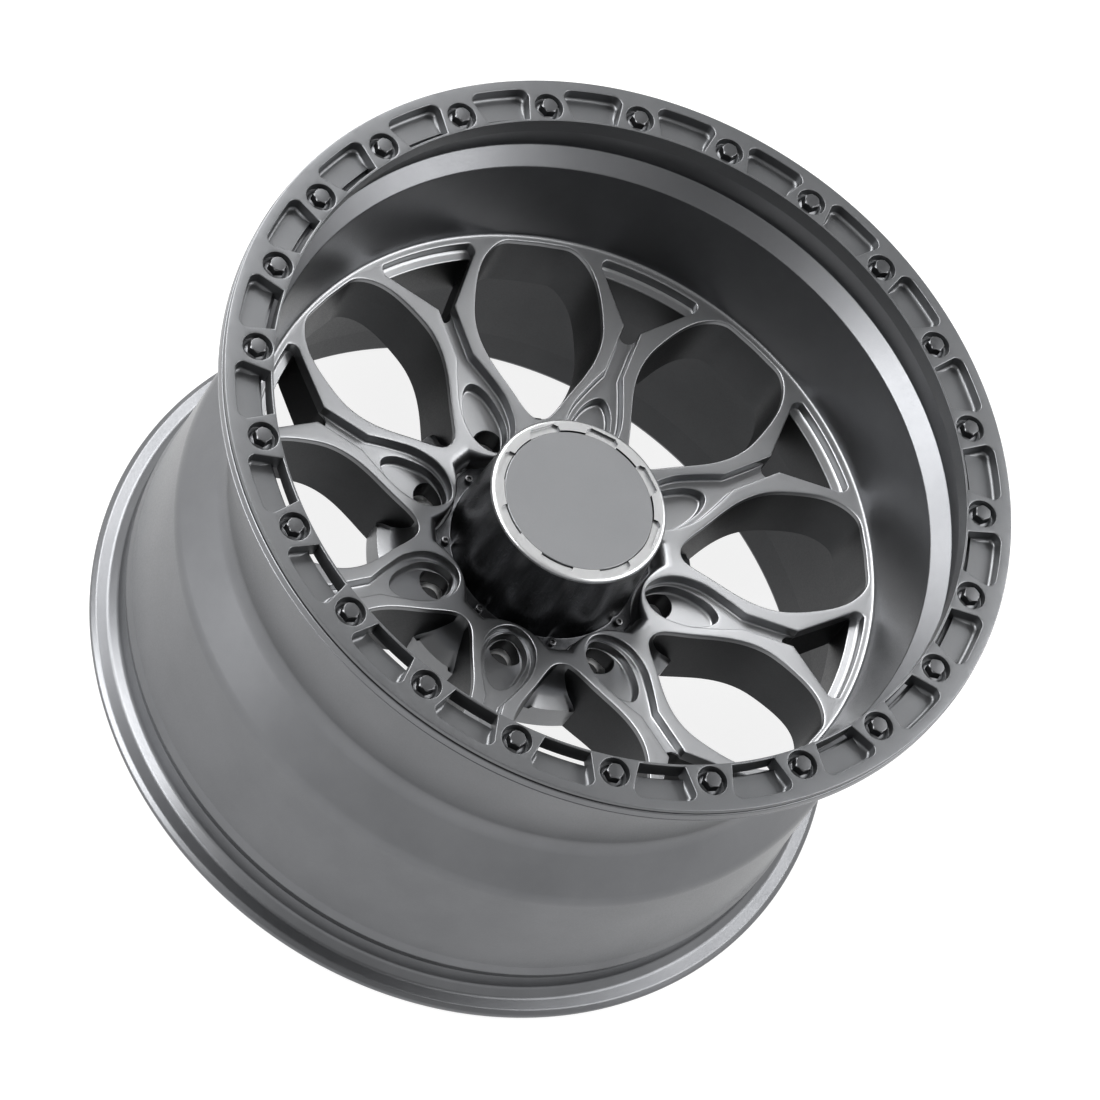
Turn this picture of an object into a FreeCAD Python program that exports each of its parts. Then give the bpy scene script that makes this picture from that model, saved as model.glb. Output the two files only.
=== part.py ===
import FreeCAD, Part
import os
from math import cos, radians, sin, sqrt, tan

# Off-road truck wheel, 20 by 12 inches, with a bolted ring on its outer flange.
# Millimetres. Z is the wheel's axis and points outboard; Z = 0 is the hub mounting face.
# X lies along one of the eight spokes.

Vector = FreeCAD.Vector
AXIS = Vector(0, 0, 1)
ORIGIN = Vector(0, 0, 0)

# Rim
flange_r = 273.7
flange_height = 17.3
overall_width = 326.4
backspacing = 123.4
barrel_wall = 6.8
spoke_count = 8

# Front of the rim, measured back from the front plane of the ring
ring_thickness = 13.0
ring_edge_thickness = 3.8
seam_gap = 1.0
front_flange_width = 7.6
front_flange_bevel = 3.4
front_seat_width = 18.0
seat_drop = 1.6
ring_rebate_width = 5.4
ring_fit_clearance = 0.3
rim_mouth_r = 244.5

# Dish between the ring and the spokes
undercut_r = 247.0
undercut_depth = 38.7
dish_cone_depth = 49.4
dish_cone_r = 235.5
face_edge_r = 224.5
face_edge_depth = 119.3

# Barrel behind the spokes, heights above the mounting face
well_r = 228.0
well_height = 56.0
shoulder_r = 251.1
shoulder_height = 16.1
rear_shoulder_r = 254.7
rear_shoulder_to_edge = 43.5
hump_height = 1.9
hump_length = 15.5
hump_groove = 1.6
rear_flange_width = 9.0
rear_flange_fillet = 5.6
rear_lip_bevel = 3.4
rear_mouth_length = 14.0

# Hub
mounting_pad_r = 104.0
bore_r = 62.55
spoke_slope = 0.211
spoke_depth = 45.0

# Lug holes
lug_count = 8
lug_circle_d = 170.0
lug_hole_r = 8.0
lug_seat_r = 10.8
lug_seat_height = 19.0
lug_seat_angle = 60.0
lug_counterbore_r = 11.6

# Recess in the hub for the cap flange
cap_seat_height = 35.0
cap_flange_between_r = 68.8
cap_flange_tab_r = 77.0
cap_flange_thickness = 4.0
cap_flange_gap = 1.7
cap_tab_half_angle = 6.0

# Recesses in the spokes, depths below the spoke face
channel_depth = 8.5
channel_half_width = 6.3
channel_kink_r = 142.5
fork_r = 178.0
lug_recess_depth = 17.0
shelf_depth = 9.5
shelf_outer_r = 219.3
fork_window_outer_r = 212.8
fork_window_inner_r = 171.2
fork_corner = Vector(207.5, 33.8, 0)
fork_corner_bend = Vector(212.2, 36.5, 0)
shelf_half_angle = 9.0
fork_wall_inset = 1.3
fork_window_corner = Vector(203.5, 28.8, 0)
fork_window_bend = Vector(208.8, 30.2, 0)
fork_window_half_angle = 7.1
channel_tip_r = 73.2
lug_recess_outer_r = 126.8
lug_recess_inner_r = 74.4

# Large windows between the spokes
window_tip_r = 96.3
window_outer_r = 220.5
window_outer_angle = 18.45
scoop_start_r = 92.9
scoop_bend_r = 99.4
scoop_bend_height = 36.0
scoop_r = 114.0
scoop_height = 27.0

# Valve hole in the dish wall
valve_hole_r = 5.65
valve_hole_depth = 85.0
valve_angle = 67.5

# Ring
ring_r = 273.0
ring_inner_r = 240.3
bolt_count = 24
bolt_circle_r = 251.7
bolt_hole_r = 3.3
bolt_counterbore_r = 10.0
bolt_counterbore_depth = 7.0
pocket_depth = 9.0
pocket_outer_r = 265.7
pocket_inner_r = 242.2
pocket_inner_half_width = 15.4
pocket_outer_half_width = 21.0
pocket_corner = 5.6
pocket_outer_bow = 0.8
slot_outer_r = 246.4

# Ring bolts
bolt_shank_r = 3.0
bolt_thread_length = 10.0
bolt_flange_r = 7.75
bolt_flange_thickness = 2.4
bolt_head_across_flats = 10.5
bolt_head_proud = 2.0
thread_clearance = 0.1

# Hub cap
cap_height = 77.0
cap_base_r = 66.4
cap_top_r = 62.0
cap_wall = 3.0
cap_edge_bevel = 2.6
cap_rim_inner_r = 53.0
cap_rim_depth = 3.0
disc_gap = 0.6
disc_thickness = 2.2
notch_count = 8
notch_half_length = 11.5
notch_radial = 4.6
notch_chamfer = 2.6
notch_depth = 1.3
cap_screw_circle_r = 70.4
cap_screw_head_r = 2.75
cap_screw_head_height = 3.0
cap_screw_shank_r = 2.0
cap_screw_length = 12.0
cap_screw_clearance = 0.2
screw_groove_r = 5.2

# Places that follow from the sizes above
ring_front = overall_width - backspacing
ring_back = ring_front - ring_thickness
lip_front = ring_front - ring_edge_thickness - seam_gap
rear_edge = -backspacing
bead_seat_r = flange_r - flange_height
ring_step_r = flange_r - ring_rebate_width
lug_circle_r = lug_circle_d / 2
spoke_pitch = 360.0 / spoke_count
face_edge_height = ring_front - face_edge_depth
lug_seat_depth = (lug_seat_r - lug_hole_r) / tan(radians(lug_seat_angle / 2))
cap_top = cap_seat_height + cap_height
cut_margin = 40.0
overcut = 1.0


def face_height(r):
    """Height of the conical spoke face at radius r."""
    return face_edge_height - (face_edge_r - r) * spoke_slope


def polar(r, degrees, z=0.0):
    return Vector(r * cos(radians(degrees)), r * sin(radians(degrees)), z)


def mirrored(point):
    return Vector(point.x, -point.y, point.z)


def across_window(point):
    """Image of a point of one spoke on the next spoke, across the window's axis."""
    double = radians(spoke_pitch)
    return Vector(point.x * cos(double) + point.y * sin(double),
                  point.x * sin(double) - point.y * cos(double), point.z)


def revolved(outline):
    """Solid of revolution from a closed outline of points (r, z)."""
    points = [Vector(r, 0, z) for r, z in outline + outline[:1]]
    return Part.Face(Part.makePolygon(points)).revolve(ORIGIN, AXIS, 360)


def prism(edges, low, high):
    """Straight prism over a closed outline drawn at Z = 0."""
    face = Part.Face(Part.Wire(edges))
    face.translate(Vector(0, 0, low))
    return face.extrude(Vector(0, 0, high - low))


def arc(start, middle, end):
    return Part.Arc(start, middle, end).toShape()


def line(start, end):
    return Part.makeLine(start, end)


def spline(points, closed=False):
    curve = Part.BSplineCurve()
    curve.interpolate(points, closed)
    return curve.toShape()


def turned(shape, count, first=0.0):
    """Copies of a shape spaced evenly round the axis."""
    copies = []
    for number in range(count):
        copy = shape.copy()
        copy.rotate(ORIGIN, AXIS, first + 360.0 * number / count)
        copies.append(copy)
    return copies


def cylinder(r, low, high, x=0.0, y=0.0):
    return Part.makeCylinder(r, high - low, Vector(x, y, low), AXIS)


def above_face(depth):
    """Everything over a cone that lies the given depth below the spoke face."""
    inner = bore_r / 2
    outer = face_edge_r + barrel_wall
    top = face_edge_height + cut_margin
    return revolved([(inner, face_height(inner) - depth), (outer, face_height(outer) - depth),
                     (outer, top), (inner, top)])


def lobed(between_r, tab_r, low, high):
    """Plate with a rounded tab midway between each pair of spokes."""
    edges = []
    for number in range(spoke_count):
        middle = spoke_pitch * (number + 0.5)
        before = polar(tab_r, middle - cap_tab_half_angle)
        after = polar(tab_r, middle + cap_tab_half_angle)
        edges.append(arc(before, polar(tab_r, middle), after))
        next_tab = polar(tab_r, middle + spoke_pitch - cap_tab_half_angle)
        edges.append(arc(after, polar(between_r, middle + spoke_pitch / 2), next_tab))
    return prism(edges, low, high)


def casting_blank():
    """Barrel, disc and hub as one turned blank."""
    seat_end = lip_front - front_flange_width - front_flange_bevel - front_seat_width
    rear_shoulder = rear_edge + rear_shoulder_to_edge
    groove = rear_shoulder - hump_length
    flange_inside = rear_edge + rear_flange_width
    disc_outer_r = well_r - barrel_wall / 2
    back_edge = face_height(disc_outer_r) - spoke_depth
    return revolved([
        (rim_mouth_r, ring_back),
        (ring_step_r, ring_back),
        (ring_step_r, lip_front),
        (flange_r, lip_front),
        (flange_r, lip_front - front_flange_width),
        (bead_seat_r + front_flange_bevel, lip_front - front_flange_width - front_flange_bevel / 2),
        (bead_seat_r, lip_front - front_flange_width - front_flange_bevel),
        (bead_seat_r - seat_drop, seat_end),
        (dish_cone_r + barrel_wall, ring_front - dish_cone_depth - barrel_wall / 2),
        (well_r, well_height),
        (shoulder_r, shoulder_height),
        (rear_shoulder_r, rear_shoulder),
        (rear_shoulder_r + hump_height, rear_shoulder - hump_length / 2),
        (bead_seat_r - hump_groove, groove),
        (bead_seat_r, flange_inside + rear_flange_fillet),
        (bead_seat_r + rear_flange_fillet, flange_inside),
        (flange_r - rear_lip_bevel, flange_inside),
        (flange_r, flange_inside - rear_lip_bevel),
        (flange_r, rear_edge + rear_lip_bevel),
        (flange_r - rear_lip_bevel, rear_edge),
        (bead_seat_r + rear_lip_bevel, rear_edge),
        (rear_shoulder_r - barrel_wall, rear_edge + rear_mouth_length),
        (rear_shoulder_r - barrel_wall, rear_shoulder),
        (shoulder_r - barrel_wall, shoulder_height),
        (disc_outer_r, back_edge),
        (mounting_pad_r, 0),
        (bore_r, 0),
        (bore_r, face_height(bore_r)),
        (face_edge_r, face_edge_height),
        (dish_cone_r, ring_front - dish_cone_depth),
        (undercut_r, ring_front - undercut_depth),
    ])


def window_cut():
    """One large window; its inner end runs out in a hollow scoop before it goes right through."""
    half = spoke_pitch / 2
    side = [polar(window_tip_r, half),
            Vector(90.0, 32.2, 0), Vector(96.0, 28.9, 0), Vector(108.0, 25.5, 0),
            Vector(120.0, 22.0, 0), Vector(133.0, 18.3, 0), Vector(150.0, 16.0, 0),
            Vector(165.0, 17.9, 0), Vector(180.0, 24.2, 0), Vector(193.0, 31.8, 0),
            Vector(203.0, 40.4, 0), Vector(209.2, 50.0, 0), Vector(211.6, 61.5, 0),
            polar(window_outer_r, window_outer_angle),
            polar(window_outer_r, half)]
    other_side = [across_window(point) for point in reversed(side[1:-1])]
    low = -cut_margin
    top = face_edge_height + cut_margin
    opening = prism([spline(side + other_side, True)], low, top)
    reach = revolved([(scoop_start_r, top), (scoop_start_r, face_height(scoop_start_r)),
                      (scoop_bend_r, scoop_bend_height), (scoop_r, scoop_height), (scoop_r, low),
                      (face_edge_r + barrel_wall, low), (face_edge_r + barrel_wall, top)])
    return opening.common(reach)


def channel_cut():
    """Recessed channel down the middle of a spoke, widening to an oval round the lug hole."""
    flank = [Vector(channel_kink_r, channel_half_width, 0), Vector(130.0, 11.4, 0),
             Vector(120.0, 15.0, 0), Vector(110.0, 17.9, 0), Vector(102.0, 18.7, 0),
             Vector(92.0, 18.0, 0), Vector(83.0, 14.5, 0), Vector(76.0, 8.0, 0)]
    tip = Vector(channel_tip_r, 0, 0)
    end = Vector(fork_r, channel_half_width, 0)
    outline = [spline(flank + [tip] + [mirrored(point) for point in reversed(flank)]),
               line(mirrored(flank[0]), mirrored(end)),
               line(mirrored(end), end),
               line(end, flank[0])]
    top = face_edge_height + cut_margin
    return prism(outline, 0, top).common(above_face(channel_depth))


def lug_recess_cut():
    """Deeper oval in the wide end of the channel."""
    flank = [Vector(120.0, 8.5, 0), Vector(113.0, 11.5, 0), Vector(104.0, 13.6, 0),
             Vector(93.0, 14.4, 0), Vector(84.0, 11.6, 0), Vector(77.4, 6.2, 0)]
    outline = [Vector(lug_recess_outer_r, 0, 0)] + flank + [Vector(lug_recess_inner_r, 0, 0)]
    outline += [mirrored(point) for point in reversed(flank)]
    top = face_edge_height + cut_margin
    return prism([spline(outline, True)], 0, top).common(above_face(lug_recess_depth))


def lug_hole_cut():
    """Stud hole with its conical nut seat and the counterbore over it."""
    high = face_height(lug_circle_r)
    hole = revolved([(0, -cut_margin), (lug_hole_r, -cut_margin),
                     (lug_hole_r, lug_seat_height - lug_seat_depth), (lug_seat_r, lug_seat_height),
                     (lug_counterbore_r, lug_seat_height), (lug_counterbore_r, high), (0, high)])
    hole.translate(Vector(lug_circle_r, 0, 0))
    return hole


def fork_cuts():
    """Triangular recess in the fork of a spoke, with its shelf, and the window through it."""
    start = Vector(fork_r, channel_half_width, 0)
    inner = Vector(fork_r - channel_half_width, 0, 0)
    reach = polar(shelf_outer_r, shelf_half_angle)
    bend = fork_corner_bend
    shelf = [line(mirrored(start), inner), line(inner, start), line(start, fork_corner),
             arc(fork_corner, bend, reach),
             arc(reach, Vector(shelf_outer_r, 0, 0), mirrored(reach)),
             arc(mirrored(reach), mirrored(bend), mirrored(fork_corner)),
             line(mirrored(fork_corner), mirrored(start))]
    top = face_edge_height + cut_margin
    recess = prism(shelf, 0, top).common(above_face(shelf_depth))
    side_start = Vector(start.x - fork_wall_inset, start.y - fork_wall_inset, 0)
    side_end = fork_window_corner
    outer_bend = fork_window_bend
    outer_end = polar(fork_window_outer_r, fork_window_half_angle)
    tip = Vector(fork_window_inner_r, 0, 0)
    through = [arc(mirrored(side_start), tip, side_start), line(side_start, side_end),
               arc(side_end, outer_bend, outer_end),
               arc(outer_end, Vector(fork_window_outer_r, 0, 0), mirrored(outer_end)),
               arc(mirrored(outer_end), mirrored(outer_bend), mirrored(side_end)),
               line(mirrored(side_end), mirrored(side_start))]
    return [recess, prism(through, -cut_margin, top)]


def wheel_casting():
    """Barrel, spokes and hub, cast in one piece."""
    body = casting_blank()
    recess = lobed(cap_flange_between_r + cap_flange_gap, cap_flange_tab_r + cap_flange_gap,
                   cap_seat_height, face_edge_height)
    cuts = [recess]
    cuts += turned(window_cut(), spoke_count)
    spoke_cuts = [channel_cut(), lug_recess_cut()] + fork_cuts()
    for cut in spoke_cuts:
        cuts += turned(cut, spoke_count)
    cuts += turned(lug_hole_cut(), lug_count)
    thread = cylinder(bolt_shank_r + thread_clearance, ring_back - bolt_thread_length, ring_back + overcut,
                      bolt_circle_r)
    cuts += turned(thread, bolt_count)
    screw_hole = cylinder(cap_screw_shank_r + thread_clearance, cap_seat_height - cap_screw_length,
                          cap_seat_height + overcut, cap_screw_circle_r)
    cuts += turned(screw_hole, spoke_count, spoke_pitch / 2)
    valve = Part.makeCylinder(valve_hole_r, 2 * cut_margin,
                              Vector(face_edge_r - cut_margin, 0, ring_front - valve_hole_depth),
                              Vector(1, 0, 0))
    cuts += turned(valve, 1, valve_angle)
    for cut in cuts:
        body = body.cut(cut)
    return body


def outer_ring():
    """Flat ring over the outer flange, with sunk bolt seats and slotted pockets between them."""
    step_r = ring_step_r - ring_fit_clearance
    edge_back = ring_front - ring_edge_thickness
    body = revolved([(ring_inner_r, ring_back), (step_r, ring_back), (step_r, edge_back),
                     (ring_r, edge_back), (ring_r, ring_front), (ring_inner_r, ring_front)])
    inner = Vector(sqrt(pocket_inner_r ** 2 - pocket_inner_half_width ** 2), pocket_inner_half_width, 0)
    shoulder = Vector(pocket_outer_r - pocket_corner - pocket_outer_bow, pocket_outer_half_width, 0)
    side = pocket_outer_half_width - pocket_corner
    diagonal = pocket_corner * sqrt(0.5)
    turn = Vector(shoulder.x + diagonal, side + diagonal, 0)
    outer = Vector(sqrt(pocket_outer_r ** 2 - side ** 2), side, 0)
    pocket_edges = [arc(mirrored(inner), Vector(pocket_inner_r, 0, 0), inner), line(inner, shoulder),
                    arc(shoulder, turn, outer),
                    arc(outer, Vector(pocket_outer_r, 0, 0), mirrored(outer)),
                    arc(mirrored(outer), mirrored(turn), mirrored(shoulder)),
                    line(mirrored(shoulder), mirrored(inner))]
    high = ring_front + overcut
    low = ring_back - overcut
    pocket = prism(pocket_edges, ring_front - pocket_depth, high)
    slot = prism(pocket_edges, low, high).common(cylinder(slot_outer_r, low, high))
    seat = cylinder(bolt_counterbore_r, ring_front - bolt_counterbore_depth, high, bolt_circle_r)
    hole = cylinder(bolt_hole_r, low, high, bolt_circle_r)
    pitch = 360.0 / bolt_count
    cuts = turned(pocket.fuse(slot), bolt_count, pitch / 2) + turned(seat.fuse(hole), bolt_count)
    return body.cut(Part.makeCompound(cuts))


def ring_bolts():
    """Flanged hexagon bolts, all alike."""
    seat = ring_front - bolt_counterbore_depth
    corner_r = bolt_head_across_flats / sqrt(3)
    corners = [polar(corner_r, 60 * number + 30) for number in range(6)]
    edges = [line(corners[number], corners[(number + 1) % 6]) for number in range(6)]
    head = prism(edges, seat + bolt_flange_thickness, ring_front + bolt_head_proud)
    flange = cylinder(bolt_flange_r, seat, seat + bolt_flange_thickness)
    shank = cylinder(bolt_shank_r, ring_back - bolt_thread_length, seat)
    bolt = head.fuse(flange).fuse(shank)
    bolt.translate(Vector(bolt_circle_r, 0, 0))
    return Part.makeCompound(turned(bolt, bolt_count))


def cap_profile_r(z):
    """Outer radius of the cap's tapered wall."""
    share = (z - cap_seat_height) / cap_height
    return cap_base_r + (cap_top_r - cap_base_r) * share


def hub_cap():
    """Hollow cap with a lobed flange, a stepped rim and grooves for its screws."""
    edge_start = cap_top - cap_edge_bevel
    plate_top = cap_top - cap_rim_depth
    wall = revolved([
        (cap_base_r - cap_wall, cap_seat_height),
        (cap_base_r, cap_seat_height),
        (cap_profile_r(edge_start), edge_start),
        (cap_top_r - cap_edge_bevel, cap_top),
        (cap_rim_inner_r, cap_top),
        (cap_rim_inner_r, plate_top),
        (0, plate_top),
        (0, plate_top - cap_wall),
        (cap_top_r - cap_wall - cap_edge_bevel, plate_top - cap_wall),
    ])
    flange = lobed(cap_flange_between_r, cap_flange_tab_r, cap_seat_height,
                   cap_seat_height + cap_flange_thickness)
    flange = flange.cut(cylinder(cap_base_r - cap_wall / 2, 0, cap_top))
    flange_top = cap_seat_height + cap_flange_thickness
    groove = cylinder(screw_groove_r, flange_top, plate_top - cap_wall, cap_screw_circle_r)
    hole = cylinder(cap_screw_shank_r + cap_screw_clearance, 0, flange_top + overcut, cap_screw_circle_r)
    reach = cap_rim_inner_r + notch_radial
    near = Vector(cap_rim_inner_r - notch_radial, 0, 0)
    corners = [Vector(near.x, -notch_half_length, 0),
               Vector(reach - notch_chamfer, -notch_half_length, 0),
               Vector(reach, notch_chamfer - notch_half_length, 0)]
    corners += [mirrored(point) for point in reversed(corners)]
    edges = [line(corners[n], corners[(n + 1) % len(corners)]) for n in range(len(corners))]
    notch = prism(edges, cap_top - notch_depth, cap_top + overcut)
    half = spoke_pitch / 2
    cuts = turned(groove, spoke_count, half) + turned(hole, spoke_count, half)
    cuts += turned(notch, notch_count, half)
    body = wall.fuse(flange)
    return body.cut(Part.makeCompound(cuts))


def cap_disc():
    """Plain disc let into the top of the cap."""
    low = cap_top - cap_rim_depth
    return cylinder(cap_rim_inner_r - disc_gap, low, low + disc_thickness)


def cap_screws():
    """Socket-head screws that hold the cap, all alike."""
    seat = cap_seat_height + cap_flange_thickness
    head = cylinder(cap_screw_head_r, seat, seat + cap_screw_head_height)
    shank = cylinder(cap_screw_shank_r, cap_seat_height - cap_screw_length, seat)
    screw = head.fuse(shank)
    screw.translate(Vector(cap_screw_circle_r, 0, 0))
    return Part.makeCompound(turned(screw, spoke_count, spoke_pitch / 2))


def main():
    os.makedirs("parts", exist_ok=True)
    pieces = {
        "wheel_casting": wheel_casting(),
        "outer_ring": outer_ring(),
        "ring_bolts": ring_bolts(),
        "hub_cap": hub_cap(),
        "cap_disc": cap_disc(),
        "cap_screws": cap_screws(),
    }
    for name, shape in pieces.items():
        shape.exportStep("parts/" + name + ".step")
        box = shape.BoundBox
        print(name, "solids", len(shape.Solids), "valid", shape.isValid(),
              "volume", round(shape.Volume), "box", round(box.XLength, 1), round(box.YLength, 1),
              round(box.ZMin, 1), round(box.ZMax, 1))


main()
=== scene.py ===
from math import ceil, cos, hypot, pi, radians, sin, sqrt, tan

import bmesh
import bpy
import numpy as np
from mathutils import Matrix, Vector

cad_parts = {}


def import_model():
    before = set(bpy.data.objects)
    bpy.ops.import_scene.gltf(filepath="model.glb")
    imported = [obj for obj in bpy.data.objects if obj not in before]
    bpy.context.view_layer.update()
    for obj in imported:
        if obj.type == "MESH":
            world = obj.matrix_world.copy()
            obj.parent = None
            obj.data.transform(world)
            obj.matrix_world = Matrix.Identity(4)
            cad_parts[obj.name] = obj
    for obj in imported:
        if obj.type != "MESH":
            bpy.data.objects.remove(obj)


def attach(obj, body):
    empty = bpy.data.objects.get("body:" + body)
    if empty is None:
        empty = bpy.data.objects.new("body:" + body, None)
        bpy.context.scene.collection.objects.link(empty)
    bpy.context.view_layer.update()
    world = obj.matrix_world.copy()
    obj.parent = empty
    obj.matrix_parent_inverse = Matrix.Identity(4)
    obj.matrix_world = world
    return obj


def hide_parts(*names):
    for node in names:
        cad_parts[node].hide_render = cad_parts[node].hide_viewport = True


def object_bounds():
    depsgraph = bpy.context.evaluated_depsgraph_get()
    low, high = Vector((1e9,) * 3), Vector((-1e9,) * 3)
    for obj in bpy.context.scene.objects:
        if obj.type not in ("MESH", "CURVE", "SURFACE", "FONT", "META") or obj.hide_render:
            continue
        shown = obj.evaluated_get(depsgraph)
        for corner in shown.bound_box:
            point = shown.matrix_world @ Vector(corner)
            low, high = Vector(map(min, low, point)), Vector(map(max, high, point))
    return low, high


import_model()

cad_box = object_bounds()

# Off-road wheel with a bolted ring on its outer flange.
# Sizes are millimetres in the wheel's frame: Z is the axle and points outboard,
# Z = 0 is the hub mounting face, and X lies along one of the eight spokes.
MM = 0.001
SPOKES = 8
HALF_SPOKE = pi / SPOKES
RING_BOLTS = 24
HALF_BOLT = pi / RING_BOLTS
SPACING = 3.0
TURN_STEPS = 240
MERGE = 1e-5
ROUND_STEPS = 6
SCOOP_STEPS = 10
WALL_STEPS = 70
WALL_LEVELS = 16
HEAD_POINTS = 48
CAP_SPANS = 56
SECOND_SLOT = 1
BARE = 1
SHADED = 2
SMOOTH_ANGLE = radians(38)

# Rim, from the front to the rear edge
ring_front = 203.0
ring_back = 190.0
lip_front = 198.2
rear_edge = -123.4
flange_r = 273.7
bead_seat_r = 256.4
ring_step_r = 268.3
rim_mouth_r = 244.5
undercut_r = 247.0
undercut_z = 164.3
dish_cone_r = 235.5
dish_cone_z = 153.6
face_edge_r = 224.5
face_edge_z = 83.7
barrel_wall = 6.8
spoke_seat_r = 222.6
spoke_seat_z = 80.0
flange_foot_z = 188.6
bead_front_z = 186.6
bead_rear_z = 169.2
cone_front_z = 150.2
flange_groove_z = 191.6
shade_front_margin = 4.0
shade_rear_margin = 16.0
well_r = 228.0
well_z = 56.0
shoulder_r = 251.1
shoulder_z = 16.1
rear_shoulder_r = 254.7
rear_shoulder_z = -79.9

# Spokes and hub
spoke_slope = 0.211
edge_round = 0.9
disc_outer_r = 226.4
face_rim_r = 223.0
disc_back_z = 39.0
pad_r = 104.0
bore_r = 62.55
window_tip_r = 94.5
window_outer_r = 220.5
window_side = [(90.0, 32.2), (96.0, 28.9), (108.0, 25.5), (120.0, 22.0), (133.0, 18.3), (150.0, 16.0),
               (165.0, 17.9), (180.0, 24.2), (193.0, 31.8), (203.0, 40.4), (209.2, 50.0), (211.6, 61.5)]
window_draft = 2.5
window_shoulder = 0.82
scoop_tip_r = 94.9
scoop_r = 114.0
scoop_top_z = 56.0
scoop_z = 27.0
scoop_least_half = 5.0
channel_depth = 8.5
channel_fillet = 1.4
channel_draft = 0.5
fork_fade = 13.0
tip_fade = 14.0
lug_edge_round = 0.8
lug_fillet = 1.8
lug_draft = 0.4
bore_round = 0.6
back_chamfer = 1.0
neck_half = 6.3
kink_r = 142.5
fork_r = 178.0
channel_flank = [(kink_r, neck_half), (130.0, 11.4), (120.0, 15.0), (110.0, 17.9), (102.0, 18.7),
                 (92.0, 18.0), (83.0, 14.5), (76.0, 8.0)]
channel_tip = (73.2, 0.0)
fork_tip_r = 171.2
fork_corner = (207.5, 33.8)
fork_bend = (212.2, 36.5)
shelf_r = 219.3
shelf_half_angle = radians(9.0)
shelf_inner_r = 212.8
shelf_depth = 9.5
lug_recess_depth = 17.0
lug_recess_flank = [(126.8, 0.0), (120.0, 8.5), (113.0, 11.5), (104.0, 13.6), (93.0, 14.4), (84.0, 11.6),
                    (77.4, 6.2)]
lug_recess_end = (74.4, 0.0)
lug_circle_r = 85.0
lug_hole_r = 8.0
lug_seat_r = 10.8
lug_bore_r = 11.6
lug_seat_z = 23.0
lug_seat_low_z = 18.15
cap_seat_z = 35.0
recess_tab_r = 78.7
recess_between_r = 70.5
recess_tab_half = radians(6.0)
hub_round = 7.0
hub_round_drop = 10.5

# Ring and its bolts
ring_r = 273.0
ring_inner_r = 240.3
ring_edge_z = 199.2
bolt_circle_r = 251.7
bolt_seat_r = 10.0
bolt_seat_depth = 7.0
bolt_hole_r = 3.3
pocket_depth = 9.0
pocket_outer_r = 265.7
pocket_inner_r = 242.2
pocket_inner_half = 15.4
pocket_outer_half = 21.0
pocket_corner = 5.6
pocket_fillet = 2.6
pocket_bow = 0.8
pocket_fillet_fade = 6.0
ring_edge_round = 0.7
ring_clearance = 0.3
slot_r = 247.4
bolt_flange_r = 7.75
bolt_flange_height = 2.4
bolt_hex_r = 5.25
bolt_proud = 2.0

# Hub cap, its disc and its screws
cap_top_z = 112.0
cap_base_r = 66.4
cap_top_r = 62.0
cap_round = 2.6
cap_rim_r = 53.0
cap_plate_z = 109.0
cap_plate_thickness = 3.0
cap_shell = 3.0
cap_inside_top_r = 56.4
cap_wall_heights = [41.0, 45.0, 49.0, 52.0, 54.0, 56.0, 58.0, 70.0, 85.0, 97.0]
cap_flange_z = 39.0
cap_tab_r = 77.0
cap_between_r = 68.8
notch_half = 11.5
notch_reach = 57.6
notch_chamfer = 2.6
notch_depth = 2.2
disc_r = 52.4
disc_top_z = 111.2
screw_circle_r = 70.4
screw_groove_r = 5.2
screw_head_r = 2.75
screw_head_height = 3.0
screw_socket_r = 1.3


# Outlines in the plane

def polar(r, angle):
    return (r * cos(angle), r * sin(angle))


def mirrored(outline):
    """The outline's image across X, run the other way."""
    return [(x, -y) for x, y in reversed(outline)]


def rotated(outline, angle):
    return [(x * cos(angle) - y * sin(angle), x * sin(angle) + y * cos(angle)) for x, y in outline]


def circle_arc(r, start, end, spacing=SPACING):
    steps = max(2, ceil(abs(end - start) * r / spacing))
    return [polar(r, start + (end - start) * n / steps) for n in range(steps + 1)]


def circle(centre, r, steps=64):
    return [(centre[0] + r * cos(2 * pi * n / steps), centre[1] + r * sin(2 * pi * n / steps))
            for n in range(steps)]


def line(start, end, spacing=SPACING):
    steps = max(1, ceil(hypot(end[0] - start[0], end[1] - start[1]) / spacing))
    return [(start[0] + (end[0] - start[0]) * n / steps, start[1] + (end[1] - start[1]) * n / steps)
            for n in range(steps + 1)]


def bend(start, middle, end, steps=8):
    """Arc of a circle through three points."""
    a, b, c = (complex(*point) for point in (start, middle, end))
    w = (c - a) / (b - a)
    centre = (b - a) * (w - abs(w) ** 2) / (2j * w.imag) + a
    ray = a - centre
    first = np.angle((b - centre) / ray)
    sweep = first + np.angle((c - centre) / (b - centre))
    arc = [centre + ray * np.exp(1j * sweep * n / steps) for n in range(steps + 1)]
    return [(point.real, point.imag) for point in arc]


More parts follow.
